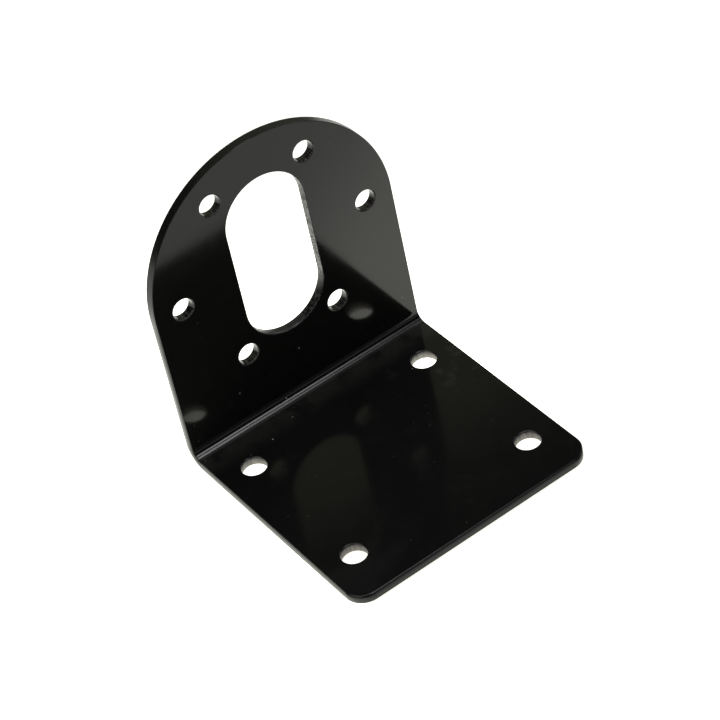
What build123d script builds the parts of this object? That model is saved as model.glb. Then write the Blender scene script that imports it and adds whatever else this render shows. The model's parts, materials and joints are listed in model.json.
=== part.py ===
from build123d import *
import os

# Motor mounting bracket: a steel sheet folded once into an L, for a 37 mm gear motor.
# The origin is the centre of the base's underside. Z runs up the upright, X runs along
# the fold, and the base reaches forward to -Y. All sizes are millimetres.

os.makedirs("parts", exist_ok=True)

# Sheet and fold
sheet = 1.5  # thickness of the steel
width = 40.0  # along the fold, the same on both legs
depth = 41.0  # back of the upright to the front edge of the base
inside_bend_r = 1.5  # fold radius on the motor's side, equal to the sheet
front_corner_r = 3.0  # the base's two front corners
rim_r = 0.25  # rounding that tumbling leaves on the outline's and the slot's rims
deburr = 0.2  # chamfer round the small holes, which tumbling can't reach

# Upright: its top is half a circle about the motor's axis
motor_axis_z = 26.3  # underside of the base to the motor's axis
screw_circle = 31.0  # pitch circle of the motor's face screws
screw_hole_d = 3.2  # close clearance for M3
screw_count = 6  # one pair is level with the motor's axis
slot_width = 13.0  # clears the 12 mm boss round the motor's shaft
slot_length = 27.0  # tall, so that an offset shaft fits either way up

# Base
base_hole_d = 3.8  # M3 screws, with play to line the motor up
base_pitch_x = 30.0
base_pitch_y = 24.0
rear_hole_inset = 9.3  # back of the upright to the rear pair of holes

outside_bend_r = inside_bend_r + sheet
arch_r = width / 2
back_y = depth / 2
front_y = -depth / 2
bend_y = back_y - outside_bend_r  # the bend's centre line, where the flat base ends
base_holes_y = back_y - rear_hole_inset - base_pitch_y / 2

with BuildPart() as bracket:
    # Upright, drawn on its back face and thickened towards the motor
    with BuildSketch(Plane.XZ.offset(-back_y)):
        with Locations((0, motor_axis_z)):
            Circle(arch_r)
        with Locations((0, outside_bend_r)):
            Rectangle(width, motor_axis_z - outside_bend_r, align=(Align.CENTER, Align.MIN))
        with Locations((0, motor_axis_z)):
            SlotOverall(slot_length, slot_width, rotation=90, mode=Mode.SUBTRACT)
            with PolarLocations(screw_circle / 2, screw_count):
                Circle(screw_hole_d / 2, mode=Mode.SUBTRACT)
    extrude(amount=sheet)

    # Base, from the bend to the rounded front corners
    with BuildSketch(Plane.XY) as base:
        with Locations((0, front_y)):
            Rectangle(width, bend_y - front_y, align=(Align.CENTER, Align.MIN))
        front_corners = base.vertices().group_by(Axis.Y)[0]
        fillet(front_corners, radius=front_corner_r)
        with Locations((0, base_holes_y)):
            with GridLocations(base_pitch_x, base_pitch_y, 2, 2):
                Circle(base_hole_d / 2, mode=Mode.SUBTRACT)
    extrude(amount=sheet)

    # Fold: a quarter ring that carries the sheet from one leg to the other
    with BuildSketch(Plane.YZ.offset(-width / 2)):
        with BuildLine():
            outside = CenterArc((bend_y, outside_bend_r), outside_bend_r, -90, 90)
            inside = CenterArc((bend_y, outside_bend_r), inside_bend_r, -90, 90)
            Line(outside @ 0, inside @ 0)
            Line(outside @ 1, inside @ 1)
        make_face()
    extrude(amount=width)

    # Rims: every edge but those across the sheet's thickness and those where the bend runs into a leg
    bend_ends = bracket.edges().filter_by(Axis.X).filter_by(lambda edge: edge.length > width - sheet)
    across_sheet = bracket.edges().filter_by(lambda edge: edge.length < sheet + rim_r)
    hole_rims = bracket.edges().filter_by(GeomType.CIRCLE).filter_by(lambda edge: edge.is_closed)
    fillet(bracket.edges() - bend_ends - across_sheet - hole_rims, radius=rim_r)
    hole_rims = bracket.edges().filter_by(GeomType.CIRCLE).filter_by(lambda edge: edge.is_closed)
    chamfer(hole_rims, length=deburr)

bracket.part.label = "bracket"
export_step(bracket.part, "parts/bracket.step")

box = bracket.part.bounding_box()
print(f"bracket {box.size.X:.2f} x {box.size.Y:.2f} x {box.size.Z:.2f} mm, {bracket.part.volume:.0f} mm3")
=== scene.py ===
# Motor mounting bracket: one sheet of steel, punched, folded once and painted glossy black.
# Sizes are in metres, and the bracket stands where its solid does: base flat, upright behind.
import json
import math

import bmesh
import bpy
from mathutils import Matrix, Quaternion, Vector


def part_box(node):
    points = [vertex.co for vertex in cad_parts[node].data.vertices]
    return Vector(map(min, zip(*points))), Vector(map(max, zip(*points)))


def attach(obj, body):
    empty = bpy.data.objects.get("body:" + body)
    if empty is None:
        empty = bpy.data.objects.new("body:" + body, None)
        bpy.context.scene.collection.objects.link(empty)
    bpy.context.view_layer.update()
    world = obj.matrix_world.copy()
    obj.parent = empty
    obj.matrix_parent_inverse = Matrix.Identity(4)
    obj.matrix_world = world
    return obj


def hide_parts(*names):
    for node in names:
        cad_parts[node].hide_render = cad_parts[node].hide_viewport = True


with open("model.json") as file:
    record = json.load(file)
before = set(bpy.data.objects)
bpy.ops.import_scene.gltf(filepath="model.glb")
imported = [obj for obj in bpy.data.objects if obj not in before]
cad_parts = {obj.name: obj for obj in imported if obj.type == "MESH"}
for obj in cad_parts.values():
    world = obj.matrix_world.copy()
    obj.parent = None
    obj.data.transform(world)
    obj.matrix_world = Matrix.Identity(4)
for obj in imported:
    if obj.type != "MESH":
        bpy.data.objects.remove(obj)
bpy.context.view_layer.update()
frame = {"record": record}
print("stage: frame loaded")

low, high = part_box("bracket")
mounts = {mount["name"]: mount for mount in frame["record"]["mounts"]}


# small helpers for modelling with operators
def deselectAll():
    bpy.ops.object.select_all(action="DESELECT")


def settle(piece, name):
    # puts the piece's place and size into its mesh, so that its object sits at the origin
    bpy.ops.object.transform_apply(location=True, rotation=True, scale=True)
    piece.name = name
    piece.data.name = name
    return piece


def edit(piece, mode="FACE"):
    deselectAll()
    piece.select_set(True)
    bpy.context.view_layer.objects.active = piece
    bpy.ops.object.mode_set(mode="EDIT")
    bpy.ops.mesh.select_mode(type=mode)
    bpy.ops.mesh.select_all(action="DESELECT")


def done():
    bpy.ops.object.mode_set(mode="OBJECT")


def pickFaces(piece, wanted):
    # wanted(centre, normal) says which faces are selected
    mesh = bmesh.from_edit_mesh(piece.data)
    for face in mesh.faces:
        face.select_set(wanted(face.calc_center_median(), face.normal))
    bmesh.update_edit_mesh(piece.data)


def pickEdges(piece, wanted):
    # wanted(end, otherEnd) says which edges are selected
    mesh = bmesh.from_edit_mesh(piece.data)
    for edge in mesh.edges:
        edge.select_set(wanted(edge.verts[0].co, edge.verts[1].co))
    bmesh.update_edit_mesh(piece.data)


def applyModifier(piece, name, kind, **settings):
    deselectAll()
    piece.select_set(True)
    bpy.context.view_layer.objects.active = piece
    modifier = piece.modifiers.new(name, kind)
    for key, value in settings.items():
        setattr(modifier, key, value)
    bpy.ops.object.modifier_apply(modifier=modifier.name)


def near(a, b):
    return abs(a - b) < 0.00001


# the bracket
bracketSizes = {
    "sheet": 0.0015,
    "insideBend": 0.0015,
    "frontCorner": 0.003,
    "slotWidth": 0.013,
    "slotLength": 0.027,
    "rim": 0.00008,       # the rounding left on the outline, the slot and the base's holes
    "rimSteps": 2,
    "holeRim": 0.00022,   # and on the upright's holes
    "holeRimSteps": 4,
    "bendSteps": 28,
    "cornerSteps": 14,
    "archSides": 256,     # of the whole circle
    "holeSides": 96,
    "slotSides": 160,
    "punchLength": 3,     # in sheets
    "cutThreshold": 0.000001,
    "mergeWithin": 0.000002,
    "flatWithin": 0.5,    # degrees: faces this close to level become one
    "rimAngle": 60,       # degrees: edges sharper than this are rims
    "flatWeight": 100,
}

sheet = bracketSizes["sheet"]
width = high.x - low.x
outsideBend = bracketSizes["insideBend"] + sheet
bendY = high.y - outsideBend
motorAxis = Vector(mounts["motor_bolts"]["pos_m"])


def foldedSheet():
    # the base: a flat with two rounded corners at the front
    deselectAll()
    length = bendY - low.y
    bpy.ops.mesh.primitive_cube_add(size=1, location=(0, low.y + length / 2, sheet / 2))
    piece = bpy.context.active_object
    piece.scale = (width, length, sheet)
    settle(piece, "bracketSheet")
    edit(piece, "EDGE")
    pickEdges(piece, lambda a, b: near(a.y, low.y) and near(b.y, low.y) and not near(a.z, b.z))
    bpy.ops.mesh.bevel(offset=bracketSizes["frontCorner"], segments=bracketSizes["cornerSteps"],
                       profile=0.5, affect="EDGES", clamp_overlap=False)
    # the bend: its rear face swept through a quarter turn, then the upright pulled up from it
    bpy.ops.mesh.select_mode(type="FACE")
    bpy.ops.mesh.select_all(action="DESELECT")
    pickFaces(piece, lambda centre, normal: normal.y > 0.99)
    bpy.ops.mesh.spin(steps=bracketSizes["bendSteps"], angle=-math.pi / 2,
                      center=(0, bendY, outsideBend), axis=(1, 0, 0))
    bpy.ops.mesh.extrude_region_move(TRANSFORM_OT_translate={"value": (0, 0, motorAxis.z - outsideBend)})
    bpy.ops.mesh.delete(type="ONLY_FACE")
    done()
    return piece


def archTop():
    # half a disc about the motor's axis, open below where it meets the upright
    deselectAll()
    bpy.ops.mesh.primitive_cylinder_add(
        vertices=bracketSizes["archSides"], radius=width / 2, depth=sheet,
        location=(0, high.y - sheet / 2, motorAxis.z), rotation=(math.pi / 2, 0, 0))
    piece = settle(bpy.context.active_object, "archTop")
    edit(piece)
    bpy.ops.mesh.select_all(action="SELECT")
    bpy.ops.mesh.bisect(plane_co=(0, 0, motorAxis.z), plane_no=(0, 0, 1), clear_inner=True,
                        threshold=bracketSizes["cutThreshold"])
    done()
    return piece


def joined(pieces, name):
    deselectAll()
    for piece in pieces:
        piece.select_set(True)
    bpy.context.view_layer.objects.active = pieces[0]
    bpy.ops.object.join()
    piece = settle(bpy.context.active_object, name)
    edit(piece, "VERT")
    bpy.ops.mesh.select_all(action="SELECT")
    bpy.ops.mesh.remove_doubles(threshold=bracketSizes["mergeWithin"])
    bpy.ops.mesh.normals_make_consistent(inside=False)
    done()
    return piece


def roundPunch(place, radius, across):
    # a cylinder through the sheet; across is the turn that lays it along Y for the upright
    deselectAll()
    bpy.ops.mesh.primitive_cylinder_add(
        vertices=bracketSizes["holeSides"], radius=radius, depth=sheet * bracketSizes["punchLength"],
        location=place, rotation=(across, 0, 0))
    return settle(bpy.context.active_object, "punch")


def slotPunch():
    # its top half is half a cylinder, lifted and pulled down to the middle; the rest is a mirror of it
    halfStraight = (bracketSizes["slotLength"] - bracketSizes["slotWidth"]) / 2
    middle = Vector((0, high.y - sheet / 2, motorAxis.z))
    deselectAll()
    bpy.ops.mesh.primitive_cylinder_add(
        vertices=bracketSizes["slotSides"], radius=bracketSizes["slotWidth"] / 2,
        depth=sheet * bracketSizes["punchLength"], rotation=(math.pi / 2, 0, 0))
    piece = settle(bpy.context.active_object, "slotPunch")
    edit(piece)
    bpy.ops.mesh.select_all(action="SELECT")
    bpy.ops.mesh.bisect(plane_co=(0, 0, 0), plane_no=(0, 0, 1), clear_inner=True, use_fill=True,
                        threshold=bracketSizes["cutThreshold"])
    bpy.ops.mesh.select_all(action="SELECT")
    bpy.ops.transform.translate(value=(0, 0, halfStraight))
    bpy.ops.mesh.select_all(action="DESELECT")
    pickFaces(piece, lambda centre, normal: normal.z < -0.99)
    bpy.ops.mesh.extrude_region_move(TRANSFORM_OT_translate={"value": (0, 0, -halfStraight)})
    bpy.ops.mesh.delete(type="ONLY_FACE")
    done()
    applyModifier(piece, "otherHalf", "MIRROR", use_axis=(False, False, True), use_clip=True,
                  merge_threshold=bracketSizes["cutThreshold"])
    piece.location = middle
    return settle(piece, "slotPunch")


def roundHoles():
    # every small hole as its middle, its radius and the direction it runs in
    motor = mounts["motor_bolts"]["dims"]
    feet = mounts["base_bolts"]["dims"]
    baseCentre = Vector(mounts["base_bolts"]["pos_m"])
    holes = []
    for step in range(motor["count"]):
        turn = 2 * math.pi * step / motor["count"]
        arm = Vector((math.cos(turn), 0, math.sin(turn))) * motor["pcd_mm"] / 2000
        middle = Vector((0, high.y - sheet / 2, motorAxis.z)) + arm
        holes.append((middle, motor["hole_r_mm"] / 1000, "y"))
    for sideX in (-1, 1):
        for sideY in (-1, 1):
            offset = Vector((sideX * feet["spacing_x_mm"], sideY * feet["spacing_y_mm"], 0)) / 2000
            middle = baseCentre + offset + Vector((0, 0, sheet / 2))
            holes.append((middle, feet["hole_r_mm"] / 1000, "z"))
    return holes


def easeHoles(piece, holes):
    # the upright's holes have a rounder rim than the rest
    def onRim(end):
        return any(near(Vector((end.x - middle.x, end.z - middle.z)).length, radius)
                   for middle, radius, runs in holes if runs == "y")

    edit(piece, "EDGE")
    pickEdges(piece, lambda a, b: near(a.y, b.y) and onRim(a) and onRim(b))
    bpy.ops.mesh.bevel(offset=bracketSizes["holeRim"], segments=bracketSizes["holeRimSteps"],
                       affect="EDGES", clamp_overlap=False, face_strength_mode="ALL")
    done()


def makeBracket():
    piece = joined([foldedSheet(), archTop()], "bracketSheet")
    print("stage: sheet folded")
    holes = roundHoles()
    punches = [slotPunch()]
    for middle, radius, runs in holes:
        punches.append(roundPunch(middle, radius, math.pi / 2 if runs == "y" else 0))
    punch = joined(punches, "punches")
    applyModifier(piece, "punched", "BOOLEAN", object=punch, operation="DIFFERENCE", solver="EXACT")
    bpy.data.objects.remove(punch)
    edit(piece)
    bpy.ops.mesh.select_all(action="SELECT")
    bpy.ops.mesh.dissolve_limited(angle_limit=math.radians(bracketSizes["flatWithin"]))
    done()
    print("stage: slot and holes punched")
    deselectAll()
    piece.select_set(True)
    bpy.context.view_layer.objects.active = piece
    bpy.ops.object.shade_smooth()
    easeHoles(piece, holes)
    applyModifier(piece, "rims", "BEVEL", width=bracketSizes["rim"], segments=bracketSizes["rimSteps"],
                  limit_method="ANGLE", angle_limit=math.radians(bracketSizes["rimAngle"]),
                  use_clamp_overlap=False, face_strength_mode="FSTR_AFFECTED")
    applyModifier(piece, "flatNormals", "WEIGHTED_NORMAL", mode="FACE_AREA",
                  weight=bracketSizes["flatWeight"], keep_sharp=True, use_face_influence=True)
    applyModifier(piece, "evenFlats", "TRIANGULATE", ngon_method="BEAUTY", min_vertices=5,
                  keep_custom_normals=True)
    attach(piece, "root")
    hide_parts("bracket")
    print("stage: rims rounded")
    return piece


# the paint; scales count cells in a metre, and a ramp is given as start, end, low, high,
# or as start and end alone where it runs from 0 to 1
paintLook = {
    "colour": (0.0047, 0.0047, 0.0047, 1),
    "ior": 1.4,
    "cloudScale": 160,          # the gloss varies in soft clouds
    "cloudDetail": 4,
    "glossRamp": (0.35, 0.65, 0.085, 0.115),
    "peelScale": 2600,          # orange peel
    "peelHeight": 0.0000011,
    "waveScale": 90,            # broad unevenness of the sheet
    "waveDetail": 1,
    "waveHeight": 0.000012,
    # the punched walls, where the spray lies thin over the steel
    "thinColour": (0.34, 0.325, 0.3, 1),
    "thinRough": 0.5,
    "thinFade": 0.00012,
    "thinDepth": (0.0006, 0.0001),            # below the base's top, where thin paint starts and is full
    "dragScale": 5200,          # marks that the punch drew through the sheet
    "dragStretch": 0.08,
    "baseDragRamp": (0.3, 0.7, 0.4, 0.9),
    "upDragRamp": (0.35, 0.7, 0, 0.2),
    "clearRing": (0.0003, 0.0005),            # how far round a hole of the upright its edge is left alone
    # the cut edges of the outline and the slot, which take the paint less evenly
    "skinFade": (0.000005, 0.00006),
    "cutRough": 0.17,
    "slotRough": 0.35,          # how much rougher still the slot's wall is, in patches
    "slotThin": 0.06,
    "mottleScale": 3000,
    "mottleDetail": 3,
    "mottleRamp": (0.48, 0.6),
    "rollStart": 0.0005,        # the shear's roll-over: where in the sheet it starts, and how it curves
    "rollCurve": 400,
    "rollTop": (0.020, 0.030, 1, 0),          # it fades out where the sides give way to the punched arch
    # dust
    "dustColour": (0.42, 0.41, 0.38, 1),
    "dustRough": 0.5,
    "speckScale": 1500,
    "speckSize": 0.12,
    "speckRare": 0.94,
    "driftScale": 160,
    "driftRamp": (0.4, 0.6),
    "speckReach": (0.003, 0.012, 1, 0.06),    # from the fold
    "scuffScale": 420,
    "scuffDetail": 6,
    "scuffRamp": (0.52, 0.78),
    "scuffPlace": (0.018, 0.008),
    "scuffReach": (0.002, 0.013, 0.035, 0.004),
    "haze": 0.032,              # along the foot of the fold
    "hazeReach": 0.005,
    "hazeScale": 300,
    "hazeRamp": (0.25, 0.6, 0.2, 1),
    "hazeTop": 1.3,             # in sheets above the underside
}


class Shade:
    # short ways to add and link a material's nodes
    def __init__(self, material):
        self.nodes = material.node_tree.nodes
        self.links = material.node_tree.links

    def feed(self, socket, value):
        if isinstance(value, bpy.types.NodeSocket):
            self.links.new(value, socket)
        else:
            socket.default_value = value

    def maths(self, operation, first, second=0.0):
        node = self.nodes.new("ShaderNodeMath")
        node.operation = operation
        self.feed(node.inputs[0], first)
        self.feed(node.inputs[1], second)
        return node.outputs[0]

    def vector(self, operation, first, second=(0, 0, 0)):
        node = self.nodes.new("ShaderNodeVectorMath")
        node.operation = operation
        self.feed(node.inputs[0], first)
        self.feed(node.inputs[1], second)
        return node.outputs["Value" if operation in ("LENGTH", "DISTANCE", "DOT_PRODUCT") else "Vector"]

    def hypotenuse(self, first, second):
        squares = self.maths("ADD", self.maths("POWER", first, 2.0), self.maths("POWER", second, 2.0))
        return self.maths("SQRT", squares)

    def split(self, value):
        node = self.nodes.new("ShaderNodeSeparateXYZ")
        self.feed(node.inputs[0], value)
        return node.outputs

    def ramp(self, value, start, end, low=0.0, high=1.0):
        node = self.nodes.new("ShaderNodeMapRange")
        node.interpolation_type = "SMOOTHSTEP"
        self.feed(node.inputs["Value"], value)
        self.feed(node.inputs["From Min"], start)
        self.feed(node.inputs["From Max"], end)
        self.feed(node.inputs["To Min"], low)
        self.feed(node.inputs["To Max"], high)
        return node.outputs["Result"]

    def noise(self, place, scale, detail=2.0):
        node = self.nodes.new("ShaderNodeTexNoise")
        self.feed(node.inputs["Vector"], place)
        self.feed(node.inputs["Scale"], scale)
        self.feed(node.inputs["Detail"], detail)
        return node.outputs["Fac"]

    def blend(self, amount, first, second):
        node = self.nodes.new("ShaderNodeMix")
        node.data_type = "RGBA"
        self.feed(node.inputs["Factor"], amount)
        self.feed(node.inputs["A"], first)
        self.feed(node.inputs["B"], second)
        return node.outputs["Result"]

    def blendNormal(self, amount, first, second):
        node = self.nodes.new("ShaderNodeMix")
        node.data_type = "VECTOR"
        sockets = {socket.identifier: socket for socket in [*node.inputs, *node.outputs]}
        self.feed(sockets["Factor_Float"], amount)
        self.feed(sockets["A_Vector"], first)
        self.feed(sockets["B_Vector"], second)
        return self.vector("NORMALIZE", sockets["Result_Vector"])

    def bump(self, height, distance, normal=None):
        node = self.nodes.new("ShaderNodeBump")
        self.feed(node.inputs["Height"], height)
        self.feed(node.inputs["Distance"], distance)
        if normal:
            self.feed(node.inputs["Normal"], normal)
        return node.outputs["Normal"]


def insideBaseHoles(shade, place):
    # 1 on the walls of the base's holes: all four are folded onto one by symmetry
    feet = mounts["base_bolts"]["dims"]
    radius = feet["hole_r_mm"] / 1000
    fade = paintLook["thinFade"]
    fromBase = shade.vector("SUBTRACT", place, mounts["base_bolts"]["pos_m"])
    fromHole = shade.vector("SUBTRACT", shade.vector("ABSOLUTE", fromBase),
                            (feet["spacing_x_mm"] / 2000, feet["spacing_y_mm"] / 2000, 0))
    away = shade.vector("LENGTH", shade.vector("MULTIPLY", fromHole, (1, 1, 0)))
    return shade.ramp(away, radius + fade / 2, radius + fade * 2, 1, 0)


def fromUprightHoles(shade, place):
    # the distance from the middle of the upright's nearest hole: all six are turned onto one
    motor = mounts["motor_bolts"]["dims"]
    sector = 2 * math.pi / motor["count"]
    fromAxis = shade.split(shade.vector("SUBTRACT", place, (0, 0, motorAxis.z)))
    angle = shade.maths("ADD", shade.maths("ARCTAN2", fromAxis["Z"], fromAxis["X"]), sector / 2)
    angle = shade.maths("SUBTRACT", shade.maths("FLOORED_MODULO", angle, sector), sector / 2)
    reach = shade.hypotenuse(fromAxis["X"], fromAxis["Z"])
    along = shade.maths("MULTIPLY", reach, shade.maths("COSINE", angle))
    aside = shade.maths("MULTIPLY", reach, shade.maths("SINE", angle))
    return shade.hypotenuse(shade.maths("SUBTRACT", along, motor["pcd_mm"] / 2000), aside)


def insideSlot(shade, place):
    # 1 on the wall of the slot: a distance from the line between the middles of its two round ends
    radius = bracketSizes["slotWidth"] / 2
    halfStraight = bracketSizes["slotLength"] / 2 - radius
    wallEnd = radius + bracketSizes["rim"]
    fromAxis = shade.split(shade.vector("SUBTRACT", place, (0, 0, motorAxis.z)))
    past = shade.maths("SUBTRACT", shade.maths("ABSOLUTE", fromAxis["Z"]), halfStraight)
    away = shade.hypotenuse(fromAxis["X"], shade.maths("MAXIMUM", past, 0.0))
    return shade.ramp(away, wallEnd, wallEnd + paintLook["thinFade"], 1, 0)


def sheetDepth(shade, place):
    # how deep a point lies in the sheet: 0 on the outer skin all round the fold, a sheet on the inner
    point = shade.split(place)
    back = shade.maths("MAXIMUM", shade.maths("SUBTRACT", point["Y"], bendY), 0.0)
    down = shade.maths("MAXIMUM", shade.maths("SUBTRACT", outsideBend, point["Z"]), 0.0)
    return shade.maths("SUBTRACT", outsideBend, shade.hypotenuse(back, down))


def cutEdge(shade, through):
    # 1 on cut edges and their rims, 0 on either skin
    start, full = paintLook["skinFade"]
    outer = shade.ramp(through, start, full)
    inner = shade.ramp(through, sheet - full, sheet - start, 1, 0)
    return shade.maths("MULTIPLY", outer, inner)


def thinPaint(shade, place, upAway, mottle):
    # how thin the paint is on the punched walls, with the punch's marks running through the sheet
    radius = mounts["motor_bolts"]["dims"]["hole_r_mm"] / 1000
    fade = paintLook["thinFade"]
    stretch = paintLook["dragStretch"]
    baseDrag = shade.noise(shade.vector("MULTIPLY", place, (1, 1, stretch)), paintLook["dragScale"])
    upDrag = shade.noise(shade.vector("MULTIPLY", place, (1, stretch, 1)), paintLook["dragScale"])
    start, full = paintLook["thinDepth"]
    depth = shade.ramp(shade.split(place)["Z"], sheet - start, sheet - full, 1, 0)
    baseWall = shade.maths("MULTIPLY", insideBaseHoles(shade, place), depth)
    upWall = shade.ramp(upAway, radius + fade / 2, radius + fade * 2, 1, 0)
    thinBase = shade.maths("MULTIPLY", baseWall, shade.ramp(baseDrag, *paintLook["baseDragRamp"]))
    thinUp = shade.maths("MULTIPLY", upWall, shade.ramp(upDrag, *paintLook["upDragRamp"]))
    thinSlot = shade.maths("MULTIPLY", mottle, paintLook["slotThin"])
    return shade.maths("MAXIMUM", shade.maths("MAXIMUM", thinBase, thinUp), thinSlot)


def dustOn(shade, place):
    # rare specks, thicker near the fold, a faint haze along its foot and a scuffed patch at the right edge
    cells = shade.nodes.new("ShaderNodeTexVoronoi")
    shade.feed(cells.inputs["Vector"], place)
    shade.feed(cells.inputs["Scale"], paintLook["speckScale"])
    chance = shade.split(cells.outputs["Color"])["X"]
    size = paintLook["speckSize"]
    specks = shade.maths("MULTIPLY", shade.ramp(cells.outputs["Distance"], size, size * 2, 1, 0),
                         shade.ramp(chance, paintLook["speckRare"], 1))
    drift = shade.ramp(shade.noise(place, paintLook["driftScale"]), *paintLook["driftRamp"])
    specks = shade.maths("MULTIPLY", specks, drift)
    across = shade.vector("MULTIPLY", place, (0, 1, 1))
    fromFold = shade.vector("DISTANCE", across, (0, high.y - sheet, sheet))
    specks = shade.maths("MULTIPLY", specks, shade.ramp(fromFold, *paintLook["speckReach"]))

    fromPatch = shade.vector("DISTANCE", place, (*paintLook["scuffPlace"], sheet))
    scuff = shade.ramp(shade.noise(place, paintLook["scuffScale"], paintLook["scuffDetail"]),
                       *paintLook["scuffRamp"])
    scuff = shade.maths("MULTIPLY", scuff, shade.ramp(fromPatch, *paintLook["scuffReach"]))

    point = shade.split(place)
    haze = shade.ramp(point["Y"], bendY - paintLook["hazeReach"], bendY, 0, paintLook["haze"])
    haze = shade.maths("MULTIPLY", haze, shade.ramp(shade.noise(place, paintLook["hazeScale"]),
                                                    *paintLook["hazeRamp"]))
    haze = shade.maths("MULTIPLY", haze, shade.ramp(point["Z"], sheet, sheet * paintLook["hazeTop"], 1, 0))
    return shade.maths("MAXIMUM", shade.maths("MAXIMUM", specks, scuff), haze)


def makePaint():
    paint = bpy.data.materials.new("blackPaint")
    paint.use_nodes = True
    shade = Shade(paint)
    shader = shade.nodes["Principled BSDF"]
    shader.inputs["IOR"].default_value = paintLook["ior"]
    place = shade.nodes.new("ShaderNodeTexCoord").outputs["Object"]

    # where the paint differs: round the upright's holes, on the slot's wall and on the cut edges
    upAway = fromUprightHoles(shade, place)
    holeRadius = mounts["motor_bolts"]["dims"]["hole_r_mm"] / 1000
    ringStart, ringEnd = paintLook["clearRing"]
    clear = shade.ramp(upAway, holeRadius + ringStart, holeRadius + ringEnd)
    slotWall = insideSlot(shade, place)
    patches = shade.ramp(shade.noise(place, paintLook["mottleScale"], paintLook["mottleDetail"]),
                         *paintLook["mottleRamp"])
    mottle = shade.maths("MULTIPLY", slotWall, patches)
    through = sheetDepth(shade, place)
    cut = shade.maths("MULTIPLY", cutEdge(shade, through), clear)
    thin = thinPaint(shade, place, upAway, mottle)
    dust = dustOn(shade, place)

    colour = shade.blend(thin, paintLook["colour"], paintLook["thinColour"])
    colour = shade.blend(dust, colour, paintLook["dustColour"])
    cloud = shade.noise(place, paintLook["cloudScale"], paintLook["cloudDetail"])
    rough = shade.ramp(cloud, *paintLook["glossRamp"])
    rougher = {"thinRough": thin, "dustRough": dust, "cutRough": cut, "slotRough": mottle}
    for setting, amount in rougher.items():
        rough = shade.maths("ADD", rough, shade.maths("MULTIPLY", amount, paintLook[setting]))
    shade.feed(shader.inputs["Base Color"], colour)
    shade.feed(shader.inputs["Roughness"], rough)

    peel = shade.bump(shade.noise(place, paintLook["peelScale"]), paintLook["peelHeight"])
    waves = shade.noise(place, paintLook["waveScale"], paintLook["waveDetail"])
    wave = shade.bump(waves, paintLook["waveHeight"], peel)
    inner = shade.maths("MAXIMUM", shade.maths("SUBTRACT", through, paintLook["rollStart"]), 0.0)
    roll = shade.maths("MULTIPLY", shade.maths("POWER", inner, 2.0), -paintLook["rollCurve"])
    rolled = shade.bump(roll, 1.0, wave)
    sides = shade.maths("MULTIPLY", shade.ramp(shade.split(place)["Z"], *paintLook["rollTop"]), clear)
    sides = shade.maths("MULTIPLY", sides, shade.maths("SUBTRACT", 1.0, slotWall))
    shade.feed(shader.inputs["Normal"], shade.blendNormal(sides, wave, rolled))
    return paint


bracket = makeBracket()
bracket.data.materials.clear()
bracket.data.materials.append(makePaint())
print("stage: painted")


# the studio
studio = {
    "floorSize": 0.55,
    "floorDrop": 0.00002,
    "floorColour": (0.9, 0.9, 0.9, 1),
    "floorRough": 0.9,
    "floorGlow": 0.4,
    "glowColour": (1, 1, 0.88, 1),
    "backTurn": 60,                         # a painted pool of light: the floor glows more behind: which way, degrees from X to Y
    "backRamp": (-0.010, 0.016, 0, 0.8),
    "leftRamp": (-0.023, -0.017, 1.4, 0),   # and left of the bracket, a painted fill over its shadow there
    "glowReach": (0.045, 0.08, 1, 0),       # how far from the bracket all this dies away
    "underFront": (-0.0245, -0.0225, 0, 0.3),   # and under it, as far as its front and right edges: a painted fill that lifts its contact shadow
    "underRight": (0.0195, 0.0215, 1, 0),
    "skyColour": (1, 1, 1, 1),
    "skyStrength": 0.01,
    "backdropRadius": 3,
    "backdropDrop": 0.002,
    "backdropSides": 64,
    "backdropGlow": 1.05,
}

# fade says how much of its strength a box keeps at its right side, and from where to where across it falls
softboxes = {
    "front": {"place": (0.22, -0.357, 0.6), "aim": (0.22, -0.357, 0), "size": (0.2, 0.21),
              "colour": (1, 1, 1), "radiance": 6.4, "fade": {"start": 0.575, "end": 0.825, "keep": 0.12}},
    "overhead": {"place": (0.18, 0.11, 0.6), "aim": (0.18, 0.11, 0), "size": (0.2, 0.45),
                 "colour": (1, 1, 1), "radiance": 6.4, "fade": {"start": 0.46, "end": 0.775, "keep": 0.12}},
    "left": {"place": (-0.5, -0.1, 0.7), "aim": (0, 0, 0), "size": (0.8, 1),
             "colour": (1, 1, 1), "radiance": 1.4},
    "backWall": {"place": (0.3, 0.9, 0.49), "aim": (0.3, 0, 0.49), "size": (1.2, 0.96),
                 "colour": (1.02, 1.1, 0.72), "radiance": 0.19},
    "frontWall": {"place": (0.5, -1.2, 0.39), "aim": (0.5, 0, 0.39), "size": (1.2, 0.32),
                  "colour": (1, 1, 1), "radiance": 0.55},
    "right": {"place": (0.75, 0.3, 0.6), "aim": (0, 0, 0), "size": (0.5, 0.6),
              "colour": (1, 1, 1), "radiance": 2.5},
}


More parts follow.
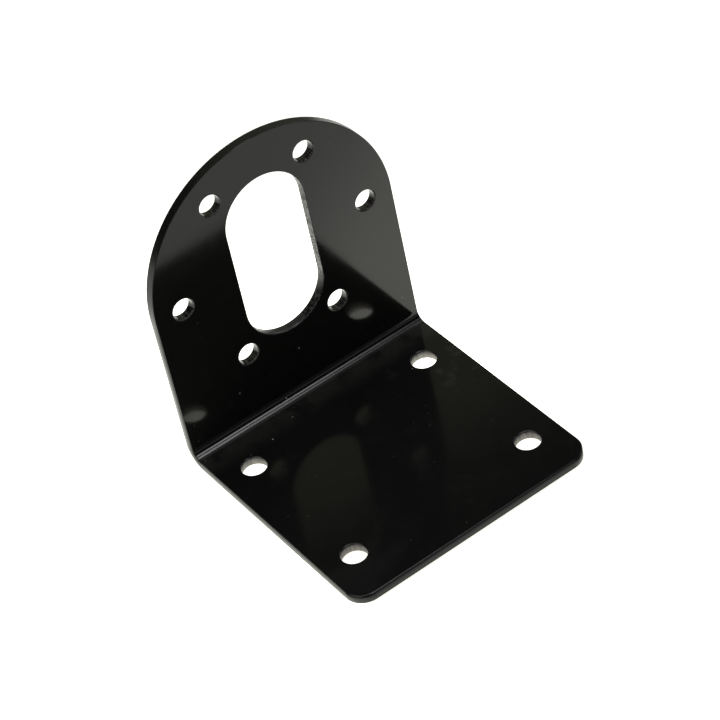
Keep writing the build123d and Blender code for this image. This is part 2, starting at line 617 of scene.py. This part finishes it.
def softbox(name, box):
    light = bpy.data.lights.new(name, "AREA")
    light.shape = "RECTANGLE"
    light.size, light.size_y = box["size"]
    light.energy = box["radiance"] * math.pi * box["size"][0] * box["size"][1]
    light.color = box["colour"]
    lamp = bpy.data.objects.new(name, light)
    lamp.location = box["place"]
    direction = Vector(box["aim"]) - Vector(box["place"])
    lamp.rotation_euler = direction.to_track_quat("-Z", "Y").to_euler()
    lamp.visible_camera = False
    bpy.context.scene.collection.objects.link(lamp)
    if "fade" in box:
        light.use_nodes = True
        nodes = light.node_tree.nodes
        links = light.node_tree.links
        across = nodes.new("ShaderNodeNewGeometry")
        split = nodes.new("ShaderNodeSeparateXYZ")
        fall = nodes.new("ShaderNodeMapRange")
        fall.inputs["From Min"].default_value = box["fade"]["start"]
        fall.inputs["From Max"].default_value = box["fade"]["end"]
        fall.inputs["To Min"].default_value = 1
        fall.inputs["To Max"].default_value = box["fade"]["keep"]
        links.new(across.outputs["Parametric"], split.inputs["Vector"])
        links.new(split.outputs["X"], fall.inputs["Value"])
        links.new(fall.outputs["Result"], nodes["Emission"].inputs["Strength"])


def plainMaterial(name, colour, glowColour):
    # a matt stage material; its glow's strength is left to the caller
    material = bpy.data.materials.new(name)
    material.use_nodes = True
    shader = material.node_tree.nodes["Principled BSDF"]
    shader.inputs["Base Color"].default_value = colour
    shader.inputs["Specular IOR Level"].default_value = 0
    shader.inputs["Emission Color"].default_value = glowColour
    return material, shader


def floorGlow(shade):
    # a painted pool of light: the pale floor's glow round the bracket, strongest behind it and on its left,
    # with a painted fill over its contact shadow under its edges
    place = shade.nodes.new("ShaderNodeTexCoord").outputs["Object"]
    point = shade.split(place)
    turn = math.radians(studio["backTurn"])
    along = shade.vector("DOT_PRODUCT", place, (math.cos(turn), math.sin(turn), 0))
    nearby = shade.ramp(shade.vector("LENGTH", place), *studio["glowReach"])
    # the painted pool of light behind the bracket and the painted fill over its shadow on the left
    beside = shade.maths("MAXIMUM", shade.ramp(along, *studio["backRamp"]),
                         shade.ramp(point["X"], *studio["leftRamp"]))
    # a painted fill along and under its front edge, which lifts its contact shadow and the floor seen
    # through its holes
    under = shade.maths("MULTIPLY", shade.ramp(point["Y"], *studio["underFront"]),
                        shade.ramp(point["X"], *studio["underRight"]))
    glow = shade.maths("MULTIPLY", shade.maths("ADD", beside, under), nearby)
    return shade.maths("ADD", glow, studio["floorGlow"])


def makeFloor():
    deselectAll()
    bpy.ops.mesh.primitive_plane_add(size=studio["floorSize"], location=(0, 0, -studio["floorDrop"]))
    floor = settle(bpy.context.active_object, "floor")
    white, shader = plainMaterial("paleFloor", studio["floorColour"], studio["glowColour"])
    shader.inputs["Roughness"].default_value = studio["floorRough"]
    shade = Shade(white)
    shade.feed(shader.inputs["Emission Strength"], floorGlow(shade))
    floor.data.materials.append(white)


def makeBackdrop():
    # a plain drum round it all, which only the camera sees, so that no horizon shows in any view
    deselectAll()
    radius = studio["backdropRadius"]
    bpy.ops.mesh.primitive_cylinder_add(
        radius=radius, depth=radius, vertices=studio["backdropSides"],
        location=(0, 0, radius / 2 - studio["backdropDrop"]))
    backdrop = settle(bpy.context.active_object, "backdrop")
    pale, shader = plainMaterial("paleBackdrop", (0, 0, 0, 1), (1, 1, 1, 1))
    shader.inputs["Emission Strength"].default_value = studio["backdropGlow"]
    backdrop.data.materials.append(pale)
    for ray in ("diffuse", "glossy", "transmission", "volume_scatter", "shadow"):
        setattr(backdrop, "visible_" + ray, False)


def makeSky():
    world = bpy.data.worlds.new("studioSky")
    world.use_nodes = True
    background = world.node_tree.nodes["Background"]
    background.inputs["Color"].default_value = studio["skyColour"]
    background.inputs["Strength"].default_value = studio["skyStrength"]
    bpy.context.scene.world = world


makeFloor()
makeBackdrop()
makeSky()
for name, box in softboxes.items():
    softbox(name, box)


# the camera
cameraView = {
    "target": (-0.0017, -0.0016, 0.0207),
    "azimuth": -27.53,
    "elevation": 41.09,
    "roll": -13.0,
    "distance": 0.3925,
    "lens": 146.8,
    "sensorWidth": 36,
}


def makeCamera():
    azimuth = math.radians(cameraView["azimuth"])
    elevation = math.radians(cameraView["elevation"])
    away = Vector((math.sin(azimuth) * math.cos(elevation),
                   -math.cos(azimuth) * math.cos(elevation), math.sin(elevation)))
    camera = bpy.data.objects.new("camera", bpy.data.cameras.new("camera"))
    camera.data.lens = cameraView["lens"]
    camera.data.sensor_width = cameraView["sensorWidth"]
    camera.location = Vector(cameraView["target"]) + away * cameraView["distance"]
    level = (-away).to_track_quat("-Z", "Y")
    camera.rotation_euler = (level @ Quaternion((0, 0, 1), math.radians(cameraView["roll"]))).to_euler()
    bpy.context.scene.collection.objects.link(camera)
    bpy.context.scene.camera = camera


makeCamera()
bpy.context.scene.view_settings.view_transform = "Standard"
print("stage: studio and camera set")
